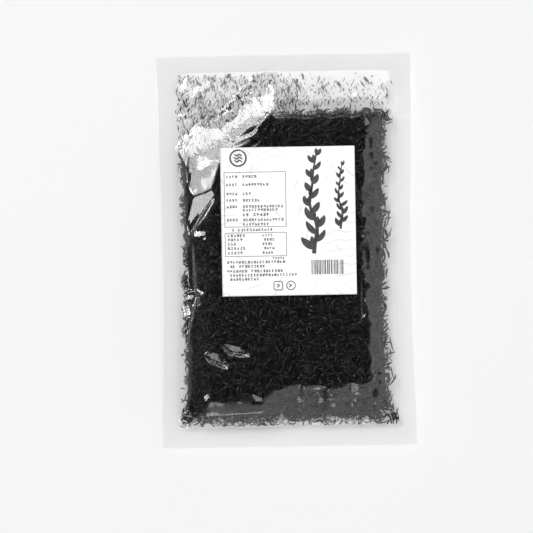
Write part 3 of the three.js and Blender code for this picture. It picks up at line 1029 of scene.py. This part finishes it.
class HIJIKI_OT_strands(bpy.types.Operator):
    """Scatter the strands of the bed, and the loose ones beside and above it"""

    bl_idname = "hijiki.strands"
    bl_label = "Strands"

    def execute(self, context):
        scene = context.scene
        pouch, sizes = Pouch(scene), scene.hijiki_strands
        material = strand_material(scene.hijiki_colours)
        kinds = strand_kinds(sizes, np.random.default_rng(sizes.seed))
        bits = strand_kinds(sizes, np.random.default_rng(sizes.seed + 1), 0.40, 1.3, 3, 3)
        per_area = sizes.per_area * 1e4  # on each square metre
        rows = np.arange(pouch.bottom + 3, pouch.bed_top + 2, 2.0)
        x, y = pouch.grid(np.linspace(-74, 74, 75), rows)
        inside = pouch.inside(y) - np.abs(x)
        nibbled = 2.2 * ripple(x, y, 6, 61) + 1.6 * ripple(x, y, 2.6, 63)
        edge = smooth((inside - mix(1.5, 3.5, smooth(x)) + nibbled) / mix(2.5, 5, smooth(x)))
        edge = edge * smooth((y - pouch.bottom - 5 + 2 * ripple(x, y, 7, 62)) / 2)
        edge = edge * smooth((bed_top_at(pouch, x) - y) / 2)
        broken = smooth((ripple(x, y, 3.4, 64) + 0.25) / 0.5)
        low_left = smooth((-x - 44) / 14) * smooth((-y - 70) / 20)
        thin = smooth((12 - inside) / 5) * np.maximum(0.75 * smooth(x / 9), 0.85 * low_left)
        spot = smooth((1 - np.hypot((x + 69) / 8, (y - 10) / 9)) / 0.4)
        edge = edge * (1 - broken * np.maximum(thin, 0.9 * spot))
        top = pouch.front(x, y) - 0.75
        base = pouch.back(x, y) + 0.9
        for k in range(3):
            patch = patch_of(f"patch_front_{k}", x, y, top, edge / 3)
            made = scatter(f"strands_front_{k}", patch, kinds, material, {
                "Strands per square metre": per_area, "Tilt": 0.25, "Deepest": 0.0023,
                "Least size": 0.65, "Least turn": -0.75, "Most turn": 0.75, "Swirl": 14.0,
                "Seed": sizes.seed + k,
            })
            finished(pressed(made, pouch), material, "dried_seaweed", "hijiki")
        patch = patch_of("patch_back", x, y, base, edge, facing_up=False)
        made = scatter("strands_back", patch, kinds, material, {
            "Strands per square metre": per_area * 0.4, "Tilt": 0.2, "Deepest": 0.0008,
            "Least size": 0.8, "Seed": sizes.seed + 3,
        })
        finished(pressed(made, pouch), material, "dried_seaweed", "hijiki")
        self.loose(pouch, (kinds, bits), material, per_area, sizes.seed)
        for group in (kinds, bits):
            for made in list(group.objects):
                bpy.data.objects.remove(made)
            bpy.data.collections.remove(group)
        return {"FINISHED"}

    def loose(self, pouch, groups, material, per_area, seed):
        """Strands that stray to the side and bottom seals, and the thin scatter in the neck."""
        rows = np.arange(pouch.bottom + 1, pouch.top - 1, 1.2)
        x, y = pouch.grid(np.linspace(-77, 77, 129), rows)
        inside = pouch.inside(y) - np.abs(x)
        middle = mix(pouch.back(x, y), pouch.front(x, y), 0.55)
        over = y - bed_top_at(pouch, x)
        below = smooth((1 - over) / 3)
        side = smooth((inside - mix(0.5, 2.5, smooth(x))) / 2) * smooth((10 - inside) / 5)
        side = side * smooth(0.42 + 0.9 * ripple(x, y, 5, 71) + 0.5 * ripple(x, y, 12, 72))
        end = smooth((y - pouch.bottom - 0.5) / 2.5) * smooth((pouch.bottom + 11 - y) / 5)
        strays = below * np.maximum(side * np.where(x > 0, 0.75, 0.8), end * 1.6)
        reach = (pouch.top - y) / (pouch.top - pouch.bed_top)
        left = smooth((-x + 14) / 30)
        thick = smooth(over / 2) * mix(np.clip(0.12 + 0.95 * reach, 0, 1), 1, left)
        thick = thick * smooth((pouch.top - y - 0.5) / 2.5)
        clumps = np.clip(0.95 + 0.4 * ripple(x, y, 7, 73) + 0.35 * ripple(x, y, 3, 74), 0.15, 1.6)
        thin_right = 1 - 0.5 * smooth((x - 25) / 30)
        neck = thick * clumps * thin_right * smooth((inside - 1) / 3)
        kinds, bits = groups
        # A level over the neck: pressed down from it, the strands lie flat under the front film.
        level = 0 * x + 14
        way = math.pi / 2
        for name, z, crowding, share, tilt, least, spread, group in (
            ("strands_edge", middle, strays, 0.6, 0.6, 0.4, None, kinds),
            ("strands_neck", level, neck * mix(1, 0.3, left), 0.10, 0.1, 0.4, 0.9, kinds),
            ("bits_neck", level, neck, 1.2, 0.1, 0.6, 0.75, bits),
        ):
            turn = (way - spread, way + spread) if spread else (0, 2 * math.pi)
            patch = patch_of("patch_" + name, x, y, z, crowding)
            made = scatter(name, patch, group, material, {
                "Strands per square metre": per_area * share, "Tilt": tilt, "Deepest": 0.0006,
                "Least size": least, "Least turn": turn[0], "Most turn": turn[1], "Seed": seed + 20,
            })
            point_values(made, "loose", np.ones(len(made.data.vertices)))
            finished(pressed(made, pouch), material, "dried_seaweed", "hijiki")


class HIJIKI_OT_label(bpy.types.Operator):
    """Build the paper label and what is printed on it"""

    bl_idname = "hijiki.label"
    bl_label = "Label"

    def execute(self, context):
        scene = context.scene
        pouch, sizes, colours = Pouch(scene), scene.hijiki_label, scene.hijiki_colours
        centre = np.array([sizes.across, sizes.along]) / MM
        half = np.array([sizes.width, sizes.height]) / MM / 2
        paper = sizes.paper / MM

        glue = 0.05

        def under(x, y):
            return pouch.front(x, y) + pouch.film + glue

        def surface(x, y):
            return under(x, y) + paper

        x, y = np.meshgrid(
            centre[0] + np.linspace(-half[0], half[0], 64),
            centre[1] + np.linspace(-half[1], half[1], 70),
        )
        low = under(x, y)
        made = slab("label_paper", x, y, low, low + paper)
        finished(made, paper_material(colours), "label_paper", "label")
        rng = np.random.default_rng(scene.hijiki_strands.seed)
        brush = Print(surface, centre)
        brush_sprig(brush, 17.5, -23, 49, 19, rng)
        brush_sprig(brush, 36.5, -6, 40, 10.5, rng)
        self.emblem(brush)
        self.signs(brush)
        finished(
            brush.finish("label_brushwork"), ink_material("Brush ink", colours.ink, 0.25),
            "label_paper", "label",
        )
        fine = Print(surface, centre)
        self.tables(fine, rng)
        self.bars(fine, rng)
        finished(
            fine.finish("label_fine_print"), ink_material("Fine ink", colours.fine_ink, 0.5),
            "label_paper", "label",
        )
        return {"FINISHED"}

    def emblem(self, ink):
        """A plain round sign with three waves."""
        x = -34.5
        ink.ring(x, 44.6, 5.6, 1.2)
        share = np.linspace(-1, 1, 15)
        for level in (-1.9, 0.2, 2.3):
            wide = 3.7 - 0.25 * abs(level - 0.2)
            wave = np.stack([x + share * wide, 44.4 + level + 0.6 * np.sin(share * 5.5)], -1)
            ink.stroke(wave, 1.0 * (1.15 - np.abs(share) ** 3))

    def signs(self, ink):
        """Two plain signs: a square with round corners, and a ring."""
        x, y, half, straight, line = -7.9, -45.1, 3.0, 1.7, 0.6
        for k in range(4):
            angle = math.pi / 2 * k
            across, up = math.cos(angle), math.sin(angle)
            corner_x = x + straight * math.copysign(1, math.cos(angle + 0.8))
            corner_y = y + straight * math.copysign(1, math.sin(angle + 0.8))
            ink.ring(corner_x, corner_y, 1.3, line, angle, math.pi / 2, 7)
            side_x, side_y = x + half * across, y + half * up
            ink.line(
                side_x - straight * up, side_y + straight * across,
                side_x + straight * up, side_y - straight * across, line,
            )
        ink.dab(-9.2, -44.2, -0.1, 2.8, 0.7, -0.5)
        ink.dab(-8.8, -46.2, 0.5, 2.6, 0.7, 0.3)
        ink.ring(1.0, y, half, line)
        ink.dab(-0.6, -44.0, -0.3, 3.0, 0.75, -0.7)
        ink.dab(-0.4, -46.3, 0.7, 2.6, 0.75, -0.4)

    def tables(self, ink, rng):
        """Two ruled boxes with rows of greeked print, and rows of it below them."""
        ink.box(-44.5, -3.6, -1.6, 34.6, 0.4)
        ink.box(-44.5, -24.2, -1.6, -7.8, 0.4)
        for y, x_end in (
            (31.6, -21), (26.0, -14), (19.6, -26), (15.0, -20), (10.6, -3.5), (8.2, -6),
            (4.9, -13.5), (1.3, -3.8), (-1.8, -13),
        ):
            if y not in (8.2, 4.9, -1.8):
                ink.greeking(-43.2, -35.5, y, 1.9, rng)
            ink.greeking(-31.8, x_end, y, 1.9 if y != 4.9 else 2.2, rng, 0.06)
        ink.greeking(-39.5, -8.5, -5.7, 1.9, rng, 0.08)
        for k, y in enumerate((-9.6, -12.6, -15.6, -18.6, -21.8)):
            ink.greeking(-42.8, -29 - 4 * (k % 3), y, 2.0, rng)
            ink.greeking(-18.5 + k % 2, -10.5, y, 1.8, rng)
        ink.greeking(-11.5, -3.5, -25.7, 1.6, rng)
        for y, x_end in ((-28.3, -2.5), (-31.2, -17), (-34.6, -4), (-37.4, 5.5), (-40.2, -22)):
            ink.greeking(-41.5 if y in (-31.2, -37.4, -40.2) else -43.5, x_end, y, 1.9, rng, 0.04)

    def bars(self, ink, rng):
        """A plain pattern of upright bars."""
        x = 15.6
        while x < 38.4:
            wide = rng.choice([0.28, 0.28, 0.42, 0.7, 0.95])
            ink.line(x + wide / 2, -27.6, x + wide / 2, -37.6, wide)
            x += wide + rng.choice([0.35, 0.35, 0.5, 0.75])


class HIJIKI_OT_stage(bpy.types.Operator):
    """Set the floor, the studio lights and the camera"""

    bl_idname = "hijiki.stage"
    bl_label = "Stage"

    def execute(self, context):
        scene = context.scene
        corners = [(-2, -2, 0), (2, -2, 0), (2, 2, 0), (-2, 2, 0)]  # metres
        floor = mesh_object("floor", corners, [(0, 1, 2, 3)])
        floor.data.materials.append(floor_material(scene.hijiki_colours))
        self.world(scene)
        self.softbox("Key", 128, 43, 3.1, 2.5, 7.5)
        fill = self.softbox("Fill", -50, 20, 5.5, 5.5, 2.14)
        fill.visible_glossy = False
        # The rest are bright windows and boards that the films mirror, and they light nothing else.
        films = bpy.data.collections.new("Films")
        for name in ("front_film", "back_film"):
            films.objects.link(bpy.data.objects[name])
        for name, bearing, from_zenith, wide, tall, brightness in (
            ("Glare", 128, 43, 3.1, 2.5, 2.4),
            ("Edge", 161, 61, 2.1, 2.1, 9.5),
            ("Side", 162, 46, 1.3, 1.9, 6.3),
            ("Band", 206, 38, 1.2, 1.5, 8.0),
            ("Top", 90, 36, 5.0, 4.0, 2.6),
            ("Low", 256, 47, 1.3, 1.8, 2.2),
            ("Hem", 265, 75, 3.0, 0.9, 3.0),
        ):
            mirrored = self.softbox(name, bearing, from_zenith, wide, tall, brightness)
            mirrored.visible_diffuse = False
            mirrored.light_linking.receiver_collection = films
        self.camera(scene)
        scene.view_settings.view_transform = "Standard"
        return {"FINISHED"}

    def world(self, scene):
        """Surroundings: a dim ceiling, and uneven walls low down, which are paler on the right."""
        world = bpy.data.worlds.new("Studio")
        scene.world = world
        world.use_nodes = True
        tree = world.node_tree
        tree.nodes.clear()
        way = node(tree, "ShaderNodeTexCoord").outputs["Generated"]
        across, along, up = node(tree, "ShaderNodeSeparateXYZ", {0: way}).outputs
        low = maths(tree, "MULTIPLY_ADD", up, -3.5, 2.95, clamp=True)
        right = maths(tree, "MULTIPLY", across, 2.2)
        right = maths(tree, "MULTIPLY_ADD", along, -1.0, right)
        right = maths(tree, "ADD", right, 0.45, clamp=True)
        walls = maths(tree, "MULTIPLY_ADD", right, 0.94, 0.03)
        horizon = maths(tree, "MULTIPLY_ADD", up, -6.0, 1.2, clamp=True)
        walls = maths(tree, "MAXIMUM", walls, maths(tree, "MULTIPLY", horizon, 0.6))
        uneven = maths(tree, "MULTIPLY_ADD", noise(tree, way, 9.0), 1.0, 0.5)
        walls = maths(tree, "MULTIPLY", walls, uneven)
        light = node(tree, "ShaderNodeBackground", {
            "Color": (0.99, 0.995, 1.0), "Strength": maths(tree, "MULTIPLY_ADD", low, walls, 0.009),
        })
        node(tree, "ShaderNodeOutputWorld", {"Surface": light.outputs[0]})

    def softbox(self, name, bearing, from_zenith, wide, tall, brightness, away=5.5):
        """A rectangular light of a given brightness, turned to the middle of the pouch."""
        light = bpy.data.lights.new(name, "AREA")
        light.shape = "RECTANGLE"
        light.size, light.size_y = wide, tall
        light.energy = brightness * math.pi * wide * tall
        made = bpy.data.objects.new(name, light)
        bpy.context.scene.collection.objects.link(made)
        angle, bearing = math.radians(from_zenith), math.radians(bearing)
        flat = Vector((math.cos(bearing), math.sin(bearing), 0))
        made.location = (flat * math.sin(angle) + Vector((0, 0, math.cos(angle)))) * away
        made.rotation_euler = (-made.location).to_track_quat("-Z", "Y").to_euler()
        made.visible_camera = False
        return made

    def camera(self, scene):
        """A long lens straight above the pouch, which is a degree askew in the picture."""
        away, seals = 2.3, 0.004  # metres: from the seals, and how high they are
        scale = 1.419  # pixels per millimetre
        pouch_x, pouch_y = 286.7, 251.2  # middle of the pouch in the picture, in pixels
        sensor = 36  # millimetres
        lens = bpy.data.cameras.new("Camera")
        lens.sensor_width = sensor
        seen = IMAGE_SIDE / scale * MM
        lens.lens = sensor * away / seen
        lens.clip_start, lens.clip_end = 0.1, 20
        made = bpy.data.objects.new("Camera", lens)
        scene.collection.objects.link(made)
        turn = math.radians(-1.0)
        right = Vector((math.cos(turn), math.sin(turn), 0))
        up = Vector((-math.sin(turn), math.cos(turn), 0))
        middle = IMAGE_SIDE / 2
        offset = right * ((middle - pouch_x) / scale) + up * ((pouch_y - middle) / scale)
        made.location = Vector((offset.x * MM, offset.y * MM, away + seals))
        made.rotation_euler = (0, 0, turn)
        scene.camera = made


OPERATORS = (HIJIKI_OT_films, HIJIKI_OT_bed, HIJIKI_OT_strands, HIJIKI_OT_label, HIJIKI_OT_stage)


class HIJIKI_PT_panel(bpy.types.Panel):
    """Builds the pouch piece by piece"""

    bl_idname = "HIJIKI_PT_panel"
    bl_label = "Hijiki pouch"
    bl_space_type = "VIEW_3D"
    bl_region_type = "UI"
    bl_category = "Hijiki"

    def draw(self, context):
        for operator in OPERATORS:
            self.layout.operator(operator.bl_idname)


CLASSES = (*PROPERTIES.values(), *OPERATORS, HIJIKI_PT_panel)


def register():
    for cls in CLASSES:
        bpy.utils.register_class(cls)
    for name, group in PROPERTIES.items():
        setattr(bpy.types.Scene, name, PointerProperty(type=group))


def unregister():
    for name in PROPERTIES:
        delattr(bpy.types.Scene, name)
    for cls in reversed(CLASSES):
        bpy.utils.unregister_class(cls)


def main():
    register()
    bpy.ops.hijiki.films()
    bpy.ops.hijiki.bed()
    bpy.ops.hijiki.strands()
    bpy.ops.hijiki.label()
    bpy.ops.hijiki.stage()


if __name__ == "__main__":
    main()
